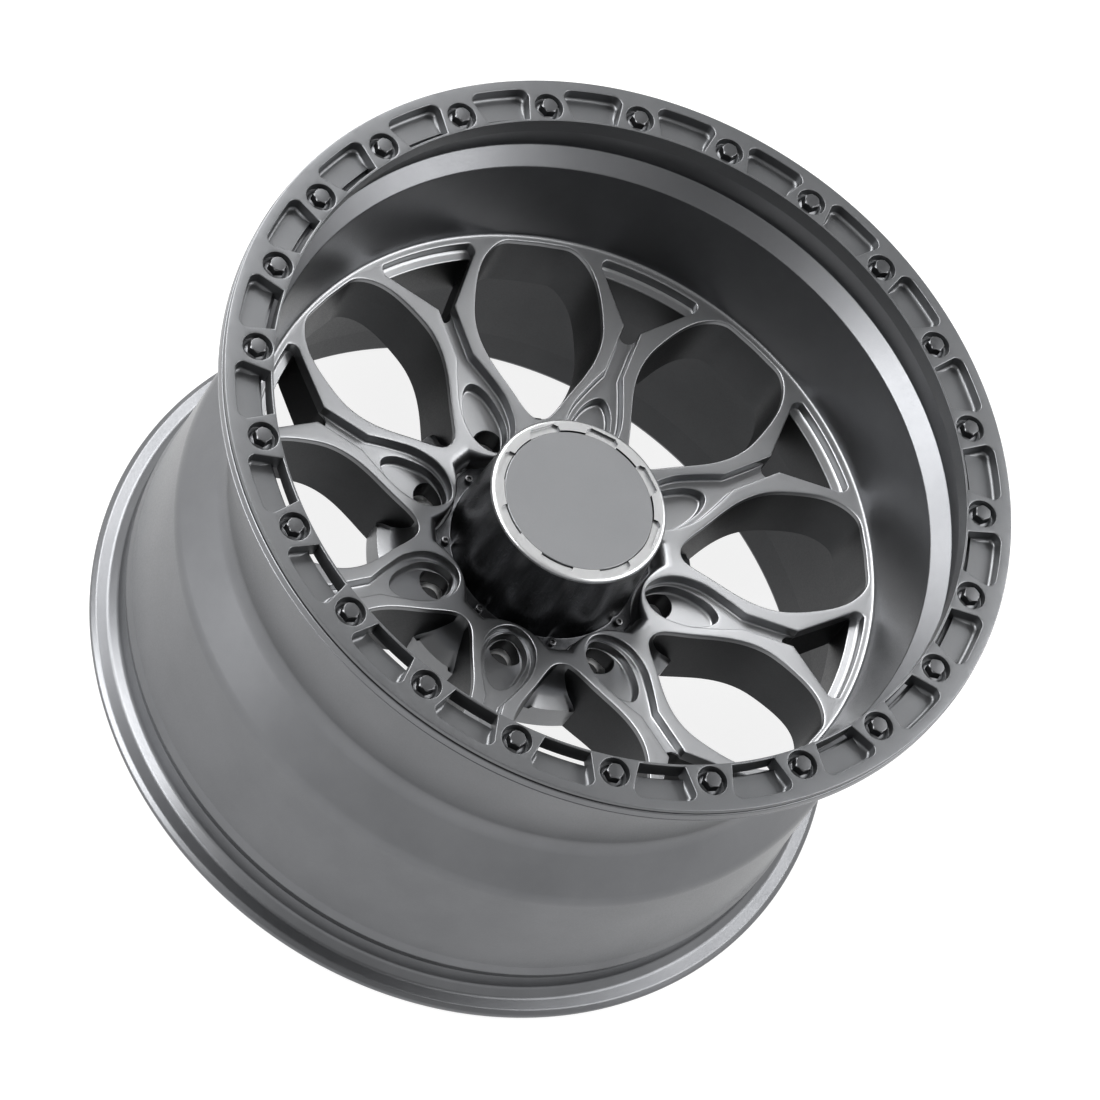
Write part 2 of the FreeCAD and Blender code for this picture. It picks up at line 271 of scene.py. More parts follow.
def spline(points, closed, spacing=SPACING):
    """Smooth cubic curve through the points, cut into steps of about the spacing."""
    p = np.array(points, dtype=float)
    if closed:
        p = np.vstack([p, p[:1]])
    span = np.linalg.norm(np.diff(p, axis=0), axis=1)
    spans = len(span)
    size = spans if closed else spans + 1
    matrix = np.zeros((size, size))
    right = np.zeros((size, 2))
    for i in range(size):
        if not closed and i in (0, spans):
            matrix[i, i] = 1
            continue
        before = (i - 1) % spans
        matrix[i, (i - 1) % size] += span[before]
        matrix[i, i] += 2 * (span[before] + span[i])
        matrix[i, (i + 1) % size] += span[i]
        right[i] = 6 * ((p[i + 1] - p[i]) / span[i] - (p[i] - p[before]) / span[before])
    bending = np.linalg.solve(matrix, right)
    if closed:
        bending = np.vstack([bending, bending[:1]])
    curve = []
    for i in range(spans):
        steps = max(2, ceil(span[i] / spacing))
        for n in range(steps):
            t = n / steps
            u = 1 - t
            sag = (u ** 3 - u) * bending[i] + (t ** 3 - t) * bending[i + 1]
            curve.append(tuple(u * p[i] + t * p[i + 1] + span[i] ** 2 / 6 * sag))
    if not closed:
        curve.append(tuple(p[-1]))
    return curve


def inset(outline, amount):
    """Closed outline moved to its left, by one amount or by one for each point."""
    p = np.array(outline)
    before = p - np.roll(p, 1, axis=0)
    after = np.roll(p, -1, axis=0) - p
    before /= np.linalg.norm(before, axis=1)[:, None]
    after /= np.linalg.norm(after, axis=1)[:, None]
    across = before + after
    across /= np.linalg.norm(across, axis=1)[:, None]
    left = np.stack([-across[:, 1], across[:, 0]], axis=1)
    stretch = 1 / np.maximum((across * after).sum(axis=1), 0.6)
    moved = p + left * (np.broadcast_to(amount, len(p)) * stretch)[:, None]
    return [tuple(point) for point in moved]


def rounded(corners, steps=5):
    """Closed profile from corners (r, z, round); each round is an arc, kept within its sides."""
    profile = []
    count = len(corners)
    for n, (r, z, size) in enumerate(corners):
        here = Vector((r, z))
        if not size:
            profile.append((r, z))
            continue
        back = Vector(corners[n - 1][:2]) - here
        ahead = Vector(corners[(n + 1) % count][:2]) - here
        half = back.angle(ahead) / 2
        reach = min(size / tan(half), 0.48 * back.length, 0.48 * ahead.length)
        start = back.normalized() * reach
        end = ahead.normalized() * reach
        centre = (start + end) / (2 * cos(half) ** 2)
        for step in range(steps + 1):
            t = step / steps
            ray = ((start - centre) * (1 - t) + (end - centre) * t).normalized()
            profile.append(tuple(here + centre + ray * (reach * tan(half))))
    return profile


def face_z(r):
    """Height of the conical spoke face."""
    return face_edge_z - (face_edge_r - r) * spoke_slope


def back_z(r):
    """Height of the back of the spokes: flat at the mounting pad, conical beyond it."""
    return max(0.0, (r - pad_r) / (disc_outer_r - pad_r)) * disc_back_z


def lifted(outline, height):
    """Points of an outline raised to height(r)."""
    return [(x, y, height(hypot(x, y))) for x, y in outline]


# Making meshes

def choose(*pieces):
    """Selects these pieces alone, in object mode."""
    if bpy.context.object and bpy.context.object.mode != "OBJECT":
        bpy.ops.object.mode_set(mode="OBJECT")
    bpy.ops.object.select_all(action="DESELECT")
    for piece in pieces:
        piece.select_set(True)
    bpy.context.view_layer.objects.active = pieces[0]


def edit_all(piece):
    choose(piece)
    bpy.ops.object.mode_set(mode="EDIT")
    bpy.ops.mesh.select_all(action="SELECT")


def close_edit():
    bpy.ops.object.mode_set(mode="OBJECT")


def drawn(name, points, edges=(), faces=()):
    """New object from points in millimetres."""
    mesh = bpy.data.meshes.new(name)
    mesh.from_pydata([(x * MM, y * MM, z * MM) for x, y, z in points], edges, faces)
    piece = bpy.data.objects.new(name, mesh)
    bpy.context.scene.collection.objects.link(piece)
    return piece


def skin(rings, closed=True):
    """Surface over a stack of rings that have the same number of points."""
    size = len(rings[0])
    spans = size if closed else size - 1
    faces = []
    for level in range(len(rings) - 1):
        for n in range(spans):
            a = level * size + n
            b = level * size + (n + 1) % size
            faces.append((a, b, b + size, a + size))
    patch = drawn("skin", [point for ring in rings for point in ring], faces=faces)
    patch["bands"] = len(rings) - 1
    return patch


def sheet(loops, height, cuts=2):
    """Sheet filled between closed loops, divided inside, and laid on height(r)."""
    points = []
    edges = []
    for loop in loops:
        first = len(points)
        points += [(x, y, 0.0) for x, y in loop]
        edges += [(first + n, first + (n + 1) % len(loop)) for n in range(len(loop))]
    piece = drawn("sheet", points, edges)
    edit_all(piece)
    bpy.ops.mesh.fill(use_beauty=True)
    if cuts:
        net = bmesh.from_edit_mesh(piece.data)
        bpy.ops.mesh.select_all(action="DESELECT")
        bpy.ops.mesh.select_mode(type="EDGE")
        for edge in net.edges:
            edge.select_set(len(edge.link_faces) == 2)
        bmesh.update_edit_mesh(piece.data)
        bpy.ops.mesh.subdivide(number_cuts=cuts)
        bpy.ops.mesh.select_mode(type="VERT")
    close_edit()
    for vertex in piece.data.vertices:
        vertex.co.z = height(hypot(vertex.co.x, vertex.co.y) / MM) * MM
    return piece


def tinted(patch, first, last, index):
    """Gives the skin's bands from first to last another of its piece's finishes."""
    bands = patch.data.polygons
    span = len(bands) // patch["bands"]
    for face in bands[first * span:last * span]:
        face.material_index = index
    return patch


def sector_loop(inner, window_half, outer):
    """Border of one sector: inner arc, window half, outer arc, and the same window half mirrored."""
    return inner + window_half + list(reversed(outer)) + mirrored(window_half)


def joined(name, patches, *materials):
    """One object from patches, each patch with all the finishes so that its tints stay."""
    for patch in patches:
        for material in materials:
            patch.data.materials.append(material)
    choose(*patches)
    bpy.ops.object.join()
    patches[0].name = name
    patches[0].data.name = name
    return patches[0]


def sealed(piece):
    """Merges doubles, drops slivers and turns the faces outwards."""
    edit_all(piece)
    bpy.ops.mesh.remove_doubles(threshold=MERGE)
    bpy.ops.mesh.dissolve_degenerate(threshold=MERGE / 2)
    bpy.ops.mesh.select_all(action="SELECT")
    bpy.ops.mesh.normals_make_consistent(inside=False)
    close_edit()
    return piece


def turned_copies(piece, count):
    """Copies the piece's whole mesh round the axle, count times in all."""
    edit_all(piece)
    for _ in range(count - 1):
        bpy.ops.mesh.duplicate()
        bpy.ops.transform.rotate(value=2 * pi / count, orient_axis="Z", center_override=(0, 0, 0))
    close_edit()
    return piece


def turned_over(piece, angle):
    """Turns a piece's mesh about the axle."""
    piece.data.transform(Matrix.Rotation(angle, 4, "Z"))
    return piece


def spun(name, profile, steps=TURN_STEPS, closed=True):
    """Turned piece: a profile of (r, z) spun round the axle."""
    count = len(profile)
    edges = [(n, n + 1) for n in range(count - 1)]
    if closed:
        edges.append((count - 1, 0))
    piece = drawn(name, [(r, 0.0, z) for r, z in profile], edges)
    edit_all(piece)
    bpy.ops.mesh.spin(steps=steps, angle=2 * pi, center=(0, 0, 0), axis=(0, 0, 1))
    close_edit()
    return sealed(piece)


def dressed(piece, slot, nodes, *materials):
    """Smooths the piece between its edges, gives it its finish and sets it on the wheel."""
    choose(piece)
    bpy.ops.object.shade_smooth_by_angle(angle=SMOOTH_ANGLE)
    weighted = piece.modifiers.new("weighted", "WEIGHTED_NORMAL")
    weighted.keep_sharp = True
    bpy.ops.object.modifier_apply(modifier=weighted.name)
    for material in materials:
        if material.name not in piece.data.materials:
            piece.data.materials.append(material)
    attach(piece, "root")
    if nodes:
        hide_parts(*nodes)
    return piece


# Finishes

def grain_group():
    """Fine cast grain under paint: a slow mottle, a fine grain and a sparkle."""
    group = bpy.data.node_groups.new("metal_grain", "ShaderNodeTree")
    group.interface.new_socket("Vector", in_out="INPUT", socket_type="NodeSocketVector")
    group.interface.new_socket("Mottle scale", in_out="INPUT", socket_type="NodeSocketFloat")
    group.interface.new_socket("Grain scale", in_out="INPUT", socket_type="NodeSocketFloat")
    group.interface.new_socket("Mottle", in_out="OUTPUT", socket_type="NodeSocketFloat")
    group.interface.new_socket("Grain", in_out="OUTPUT", socket_type="NodeSocketFloat")
    nodes = group.nodes
    links = group.links
    source = nodes.new("NodeGroupInput")
    result = nodes.new("NodeGroupOutput")
    mottle = nodes.new("ShaderNodeTexNoise")
    mottle.inputs["Detail"].default_value = 5.0
    mottle.inputs["Roughness"].default_value = 0.62
    grain = nodes.new("ShaderNodeTexNoise")
    grain.inputs["Detail"].default_value = 2.0
    for noise, scale in ((mottle, "Mottle scale"), (grain, "Grain scale")):
        links.new(source.outputs["Vector"], noise.inputs["Vector"])
        links.new(source.outputs[scale], noise.inputs["Scale"])
    links.new(mottle.outputs["Fac"], result.inputs["Mottle"])
    links.new(grain.outputs["Fac"], result.inputs["Grain"])
    return group


def metal(name, group, dark, light, rough_low, rough_high, metallic=1.0, grain=0.05, stretch=(1, 1, 1),
          mottle_scale=9.0, grain_scale=900.0):
    """Satin metal: colour and gloss drift slowly over it, and a fine grain breaks its highlights."""
    material = bpy.data.materials.new(name)
    material.use_nodes = True
    nodes = material.node_tree.nodes
    links = material.node_tree.links
    shader = nodes["Principled BSDF"]
    shader.inputs["Metallic"].default_value = metallic
    place = nodes.new("ShaderNodeTexCoord")
    mapping = nodes.new("ShaderNodeMapping")
    mapping.inputs["Scale"].default_value = stretch
    links.new(place.outputs["Object"], mapping.inputs["Vector"])
    surface = nodes.new("ShaderNodeGroup")
    surface.node_tree = group
    surface.inputs["Mottle scale"].default_value = mottle_scale
    surface.inputs["Grain scale"].default_value = grain_scale
    links.new(mapping.outputs["Vector"], surface.inputs["Vector"])
    ramp = nodes.new("ShaderNodeValToRGB")
    ramp.color_ramp.elements[0].position = 0.3
    ramp.color_ramp.elements[0].color = (*dark, 1)
    ramp.color_ramp.elements[1].position = 0.7
    ramp.color_ramp.elements[1].color = (*light, 1)
    links.new(surface.outputs["Mottle"], ramp.inputs["Fac"])
    links.new(ramp.outputs["Color"], shader.inputs["Base Color"])
    gloss = nodes.new("ShaderNodeMapRange")
    gloss.inputs["From Min"].default_value = 0.3
    gloss.inputs["From Max"].default_value = 0.7
    gloss.inputs["To Min"].default_value = rough_low
    gloss.inputs["To Max"].default_value = rough_high
    links.new(surface.outputs["Grain"], gloss.inputs["Value"])
    links.new(gloss.outputs["Result"], shader.inputs["Roughness"])
    bump = nodes.new("ShaderNodeBump")
    bump.inputs["Strength"].default_value = grain
    bump.inputs["Distance"].default_value = 0.0002
    links.new(surface.outputs["Grain"], bump.inputs["Height"])
    links.new(bump.outputs["Normal"], shader.inputs["Normal"])
    return material


# Casting

def rim_barrel(finish, inside):
    """Barrel with its flanges, bead seats, drop well and the dish in front of the spokes."""
    profile = rounded([
        (rim_mouth_r, ring_back, 0.8),
        (ring_step_r, ring_back, 0.4),
        (ring_step_r, lip_front, 0.5),
        (flange_r, lip_front, 0.9),
        (flange_r, flange_groove_z + 0.5, 0.3),
        (flange_r - 0.8, flange_groove_z, 0.2),
        (flange_r, flange_groove_z - 0.5, 0.3),
        (flange_r, ring_back, 1.2),
        (bead_seat_r + 4.5, flange_foot_z, 2.5),
        (bead_seat_r, bead_front_z, 3.0),
        (bead_seat_r - 1.6, bead_rear_z, 5.0),
        (dish_cone_r + barrel_wall, cone_front_z, 14.0),
        (well_r, well_z, 26.0),
        (shoulder_r, shoulder_z, 22.0),
        (rear_shoulder_r, rear_shoulder_z, 4.0),
        (rear_shoulder_r + 1.9, rear_shoulder_z - 7.7, 5.0),
        (bead_seat_r - 1.6, rear_shoulder_z - 15.5, 2.0),
        (bead_seat_r, rear_edge + 14.6, 5.0),
        (bead_seat_r + 5.6, rear_edge + 9.0, 4.0),
        (flange_r - 3.4, rear_edge + 8.2, 2.5),
        (flange_r, rear_edge + 5.4, 2.4),
        (flange_r, rear_edge + 2.4, 2.4),
        (flange_r - 3.4, rear_edge, 1.5),
        (bead_seat_r + 3.4, rear_edge, 2.0),
        (rear_shoulder_r - barrel_wall, rear_edge + 14.0, 4.0),
        (rear_shoulder_r - barrel_wall, rear_shoulder_z, 6.0),
        (shoulder_r - barrel_wall, shoulder_z, 10.0),
        (spoke_seat_r, disc_back_z + 2.0, 4.0),
        (spoke_seat_r, spoke_seat_z, 0.5),
        (face_edge_r, face_edge_z, 0.5),
        (dish_cone_r, dish_cone_z, 2.2),
        (undercut_r, undercut_z, 1.6),
    ])
    barrel = dressed(spun("rim_barrel", profile), "gunmetal_alloy", ["wheel_casting"], finish, inside)
    # inward faces between the rear flange and the spokes' back get the near-black inside material: painted
    # shade inside the barrel
    for face in barrel.data.polygons:
        centre = face.center
        inward = face.normal.x * centre.x + face.normal.y * centre.y < 0
        if inward and rear_edge + shade_rear_margin < centre.z / MM < disc_back_z + shade_front_margin:
            face.material_index = SECOND_SLOT
    return barrel


def window_outline():
    """Large window on the axis between two spokes, from its inner tip out along the near spoke and back."""
    side = window_side + [polar(window_outer_r, window_shoulder * HALF_SPOKE)]
    far_side = rotated(mirrored(side), 2 * HALF_SPOKE)
    tip = polar(window_tip_r, HALF_SPOKE)
    end = polar(window_outer_r, HALF_SPOKE)
    return spline([tip] + side + [end] + far_side, True)


def scoop_wall_r(z):
    """Radius of the hollow scoop at the inner end of a window."""
    t = min(max((scoop_top_z - z) / (scoop_top_z - scoop_z), 0.0), 1.0)
    return scoop_tip_r + (scoop_r - scoop_tip_r) * (1 - sqrt(1 - t * t))


def clear_of_scoop(point, z):
    """Point of a window wall pushed out to the scoop."""
    r = hypot(*point)
    share = max(r, scoop_wall_r(z)) / r
    return (point[0] * share, point[1] * share)


def rounded_edge(size, steps=3):
    """Insets and drops of a rounded top edge."""
    return [(-size * (1 - sin(pi / 2 * n / steps)), size * (1 - cos(pi / 2 * n / steps)))
            for n in range(steps + 1)]


def bottom_fillet(size, depth, first_inset, steps=5):
    """Insets and drops of the hollow fillet where a wall meets its floor."""
    return [(first_inset + size * (1 - cos(pi / 2 * n / steps)), depth - size * (1 - sin(pi / 2 * n / steps)))
            for n in range(steps + 1)]


def sunk_ring(outline, amount, drop):
    return lifted(inset(outline, amount), lambda r: face_z(r) - drop)


def window_ring(half, height, scooped):
    """Ring of a window wall from half its outline, with SCOOP_STEPS spans on the scoop at every height."""
    p = np.array(half)
    run = np.concatenate([[0.0], np.cumsum(np.linalg.norm(np.diff(p, axis=0), axis=1))])

    def at(s):
        return (np.interp(s, run, p[:, 0]), np.interp(s, run, p[:, 1]))

    border = scoop_least_half
    if scooped:
        for s in np.linspace(scoop_least_half, run[-1] / 2, 400):
            r = hypot(*at(s))
            if r >= scoop_wall_r(height(r)):
                border = s
                break
    stops = list(np.linspace(0, border, SCOOP_STEPS + 1))
    stops += list(np.linspace(border, run[-1], WALL_STEPS + 1))[1:]
    ring = []
    for s in stops:
        x, y = at(s)
        z = height(hypot(x, y))
        if scooped:
            x, y = clear_of_scoop((x, y), z)
        ring.append((x, y, z))
    turn = 2 * HALF_SPOKE
    far = [(x * cos(turn) + y * sin(turn), x * sin(turn) - y * cos(turn), z) for x, y, z in ring[1:-1]]
    return ring + list(reversed(far))


def window_walls(outline, end):
    """Walls of one window, with the scoop at its inner end."""
    rings = []
    for amount, drop in rounded_edge(edge_round):
        rings.append(window_ring(inset(outline, amount)[:end + 1], lambda r: face_z(r) - drop, False))
    for level in range(1, WALL_LEVELS + 1):
        share = level / WALL_LEVELS

        def height(r):
            top = face_z(r) - edge_round
            return top + (back_z(max(r, scoop_r)) - top) * share

        rings.append(window_ring(inset(outline, window_draft * share)[:end + 1], height, True))
    return rings


def shaded_walls(rings):
    """Skin of the window walls, with painted shade below the rounded edge except on the scoop."""
    patch = skin(rings)
    span = len(rings[0])
    edge_bands = len(rounded_edge(edge_round))
    for n, face in enumerate(patch.data.polygons):
        if n >= edge_bands * span and SCOOP_STEPS <= n % span < span - SCOOP_STEPS:
            face.material_index = SHADED
    return patch


def channel_outline():
    """Open channel side of the spoke recess, from the fork round the lug hole and back to the fork."""
    flank = spline(channel_flank + [channel_tip] + mirrored(channel_flank), False, 2.0)
    neck = line((fork_r, neck_half), channel_flank[0])
    return neck[:-1] + flank + mirrored(neck)[1:]


def fork_outline():
    """Open fork side of the spoke recess, round its two corners."""
    corner_end = polar(shelf_r, shelf_half_angle)
    side = line((fork_r, neck_half), fork_corner) + bend(fork_corner, fork_bend, corner_end)[1:]
    outer = circle_arc(shelf_r, -shelf_half_angle, shelf_half_angle)
    return mirrored(list(reversed(side))) + outer[1:-1] + list(reversed(side))


def near_tip(radii, least):
    """Share of a fillet or a round that has room where the channel and the lug recess end close together."""
    return np.clip((np.array(radii) - channel_tip[0]) / tip_fade, least, 1.0)


def spoke_recess():
    """Channel, fork window and lug seat of one spoke; gives the patches and the outlines left to fill."""
    channel = channel_outline()
    fork = fork_outline()
    whole = channel + fork[1:-1]
    last = len(channel)

    def split(ring):
        return ring[:last], ring[last - 1:] + ring[:1]

    radii = np.array([hypot(*p) for p in whole])
    taper = np.clip((fork_r - radii) / fork_fade, 0, 1) * near_tip(radii, 0.1)
    edge = [sunk_ring(whole, amount, drop) for amount, drop in rounded_edge(edge_round)]
    floor_steps = bottom_fillet(channel_fillet, channel_depth, channel_draft)
    channel_rings = [split(ring)[0] for ring in edge]
    for amount, drop in floor_steps:
        channel_rings.append(split(sunk_ring(whole, amount * taper, drop))[0])
    fork_rings = [split(ring)[1] for ring in edge]
    for _, drop in floor_steps:
        fork_rings.append(split(sunk_ring(whole, 0 * taper, drop))[1])
    patches = [skin(channel_rings, False), skin(fork_rings, False)]

    tip = bend((fork_r, neck_half), (fork_tip_r, 0.0), (fork_r, -neck_half))
    through = fork + tip[1:-1]
    shelf = [(channel_depth, shelf_r + 1), (shelf_depth - 0.3, shelf_r - 0.9), (shelf_depth, shelf_r - 2.0),
             (shelf_depth, shelf_inner_r + 0.8), (shelf_depth + 0.3, shelf_inner_r + 0.2),
             (shelf_depth + 1.0, shelf_inner_r)]
    rings = []
    for drop, limit in shelf:
        rings.append(lifted(held_within(through, limit), lambda r: face_z(r) - drop))
    bottom = held_within(through, shelf_inner_r)
    rings.append(lifted(bottom, back_z))
    # the fork window's last band, down to the back, gets painted shade
    patches.append(tinted(skin(rings), len(rings) - 2, len(rings) - 1, SHADED))

    floor = [(x, y) for x, y, z in channel_rings[-1]] + list(reversed(tip))[1:-1]
    lug_side = lug_recess_flank + [lug_recess_end] + mirrored(lug_recess_flank[1:])
    lug_outline = spline(lug_side, True, 2.0)
    room = near_tip([hypot(*p) for p in lug_outline], 0.3)
    lug_rings = [sunk_ring(lug_outline, amount * room, channel_depth + drop)
                 for amount, drop in rounded_edge(lug_edge_round)]
    lug_rings += [sunk_ring(lug_outline, amount * room, drop)
                  for amount, drop in bottom_fillet(lug_fillet, lug_recess_depth, lug_draft)]
    patches.append(skin(lug_rings))
    rim = [(x, y) for x, y, z in lug_rings[0]]
    patches.append(sheet([floor, rim], lambda r: face_z(r) - channel_depth, 1))

    lug_floor = [(x, y) for x, y, z in lug_rings[-1]]
    bore_rings = []
    for share in (1.0, 0.6, 0.3, 0.0):
        ring = gathered(lug_floor, lug_bore_r + bore_round, share)
        bore_rings.append(lifted(ring, lambda r: face_z(r) - lug_recess_depth))
    bore_top = gathered(lug_floor, lug_bore_r)
    bore_rings.append(lifted(bore_top, lambda r: face_z(r) - lug_recess_depth - bore_round))
    for r, z in ((lug_bore_r, lug_seat_z + bore_round), (lug_bore_r - bore_round / 2, lug_seat_z),
                 (lug_seat_r, lug_seat_z), (lug_hole_r, lug_seat_low_z), (lug_hole_r, back_chamfer),
                 (lug_hole_r + back_chamfer, 0.0)):
        bore_rings.append(lifted(gathered(lug_floor, r), lambda _, z=z: z))
    # the bore's wall gets painted shade, the nut's conical seat is bare metal, and the stud hole gets painted
    # shade again
    bore = skin(bore_rings)
    for first, last, index in ((3, 6, SHADED), (6, 8, BARE), (8, 10, SHADED)):
        tinted(bore, first, last, index)
    patches.append(bore)
    return {"patches": patches, "top": [(x, y) for x, y, z in edge[0]], "fork_back": bottom,
            "lug_back": gathered(lug_floor, lug_hole_r + back_chamfer)}


def gathered(outline, r, share=0.0):
    """Outline drawn in towards the lug hole's circle of radius r; share 1 leaves it as it is."""
    ring = []
    for x, y in outline:
        reach = hypot(x - lug_circle_r, y)
        near = min(1.0, r / reach)
        scale = near + (1.0 - near) * share
        ring.append((lug_circle_r + (x - lug_circle_r) * scale, y * scale))
    return ring


def held_within(outline, limit):
    """Outline with its outer end held to a largest radius and spread evenly along that arc."""
    far = [n for n, p in enumerate(outline) if hypot(*p) > limit]
    held = list(outline)
    if far:
        before = outline[far[0] - 1]
        after = outline[far[-1] + 1]
        start = np.arctan2(before[1], before[0])
        end = np.arctan2(after[1], after[0])
        spans = far[-1] - far[0] + 2
        for n in range(far[0], far[-1] + 1):
            held[n] = polar(limit, start + (end - start) * (n - far[0] + 1) / spans)
    return held


def hub_outline(between_r, tab_r):
    """One sector of the lobed outline round the cap, a tab midway between each pair of spokes."""
    tab_edge = HALF_SPOKE - recess_tab_half
    tab = circle_arc(tab_r, tab_edge, HALF_SPOKE, 2.0)
    hollow = bend(polar(tab_r, -tab_edge), (between_r, 0.0), polar(tab_r, tab_edge), 24)
    return mirrored(tab) + hollow[1:-1] + tab


def radial_inset(outline, amount):
    return [(x * (1 - amount / hypot(x, y)), y * (1 - amount / hypot(x, y))) for x, y in outline]


def at_radius(outline, r):
    """The outline's angles at one radius."""
    return [(x * r / hypot(x, y), y * r / hypot(x, y)) for x, y in outline]


def spoke_disc(finish, bare, inside):
    """Eight forked spokes and the hub, made as one sector and set round the axle."""
    window = window_outline()
    outer_end = polar(window_outer_r, HALF_SPOKE)
    gaps = [hypot(x - outer_end[0], y - outer_end[1]) for x, y in window]
    end = gaps.index(min(gaps))
    walls = window_walls(window, end)
    recess = spoke_recess()
    patches = recess["patches"] + [shaded_walls(walls)]
    half = SCOOP_STEPS + WALL_STEPS
    top_half = [(x, y) for x, y, z in walls[0][:half + 1]]
    back_half = [(x, y) for x, y, z in walls[-1][:half + 1]]

    hub = hub_outline(recess_between_r, recess_tab_r)
    hub_rings = []
    for step in range(ROUND_STEPS + 1):
        angle = pi / 2 * step / ROUND_STEPS
        ring = []
        for x, y in hub:
            r = hypot(x, y)
            share = (r - recess_between_r) / (recess_tab_r - recess_between_r)
            out = (edge_round + (hub_round - edge_round) * share) * (1 - sin(angle))
            drop = (edge_round + (hub_round_drop - edge_round) * share) * (1 - cos(angle))
            ring.append((x * (1 + out / r), y * (1 + out / r), face_z(r + out) - drop))
        hub_rings.append(ring)
    hub_rings.append(lifted(hub, lambda r: cap_seat_z))
    for r, z in ((bore_r + bore_round, cap_seat_z), (bore_r, cap_seat_z - bore_round), (bore_r, back_chamfer),
                 (bore_r + back_chamfer, 0.0)):
        hub_rings.append([(x, y, z) for x, y in at_radius(hub, r)])
    patches.append(skin(hub_rings, False))

    outer = circle_arc(face_rim_r, -HALF_SPOKE, HALF_SPOKE)
    outer_rings = []
    for r, rise in ((face_rim_r, 0.0), (face_rim_r + 0.9, 0.35), (face_rim_r + 1.5, 1.0),
                    (face_rim_r + 1.9, 2.2), (disc_outer_r, 2.6)):
        outer_rings.append([(x, y, face_z(face_rim_r) + rise) for x, y in at_radius(outer, r)])
    outer_rings.append([(x, y, back_z(disc_outer_r)) for x, y in at_radius(outer, disc_outer_r)])
    patches.append(skin(outer_rings, False))

    hub_top = [(x, y) for x, y, z in hub_rings[0]]
    patches.append(sheet([sector_loop(hub_top, top_half, outer), recess["top"]], face_z))
    pad = circle_arc(pad_r, -HALF_SPOKE, HALF_SPOKE)
    bore = at_radius(hub, bore_r + back_chamfer)
    patches.append(sheet([bore + list(reversed(pad)), recess["lug_back"]], back_z, 0))
    back_outer = at_radius(outer, disc_outer_r)
    patches.append(sheet([sector_loop(pad, back_half, back_outer), recess["fork_back"]], back_z))

    # inside is the near-black material that paints shade on the window walls, the fork window's back and the
    # lug bores
    disc = sealed(turned_copies(joined("spoke_disc", patches, finish, bare, inside), SPOKES))
    return dressed(disc, "gunmetal_alloy", ["wheel_casting"], finish, bare, inside)


# Ring

def pocket_outline():
    """Pocket on its own axis along X, from the middle of its inner side and back."""
    inner = (sqrt(pocket_inner_r ** 2 - pocket_inner_half ** 2), pocket_inner_half)
    shoulder = (pocket_outer_r - pocket_corner - pocket_bow, pocket_outer_half)
    side = pocket_outer_half - pocket_corner
    diagonal = pocket_corner * sqrt(0.5)
    turn = (shoulder[0] + diagonal, side + diagonal)
    outer = (sqrt(pocket_outer_r ** 2 - side ** 2), side)
    run = (shoulder[0] - inner[0], shoulder[1] - inner[1])
    a = run[0] ** 2 + run[1] ** 2
    b = inner[0] * run[0] + inner[1] * run[1]
    c = pocket_inner_r ** 2 - slot_r ** 2
    share = (sqrt(b * b - a * c) - b) / a
    slot_end = (inner[0] + run[0] * share, inner[1] + run[1] * share)
    angle_in = np.arctan2(inner[1], inner[0])
    angle_out = np.arctan2(outer[1], outer[0])
    half = circle_arc(pocket_inner_r, 0.0, angle_in) + line(inner, slot_end)[1:]
    slot_index = len(half) - 1
    half += line(slot_end, shoulder)[1:] + bend(shoulder, turn, outer)[1:]
    half += circle_arc(pocket_outer_r, angle_out, 0.0)[1:]
    lower = [(x, -y) for x, y in half]
    outline = lower + list(reversed(half))[1:-1]
    return outline, slot_index


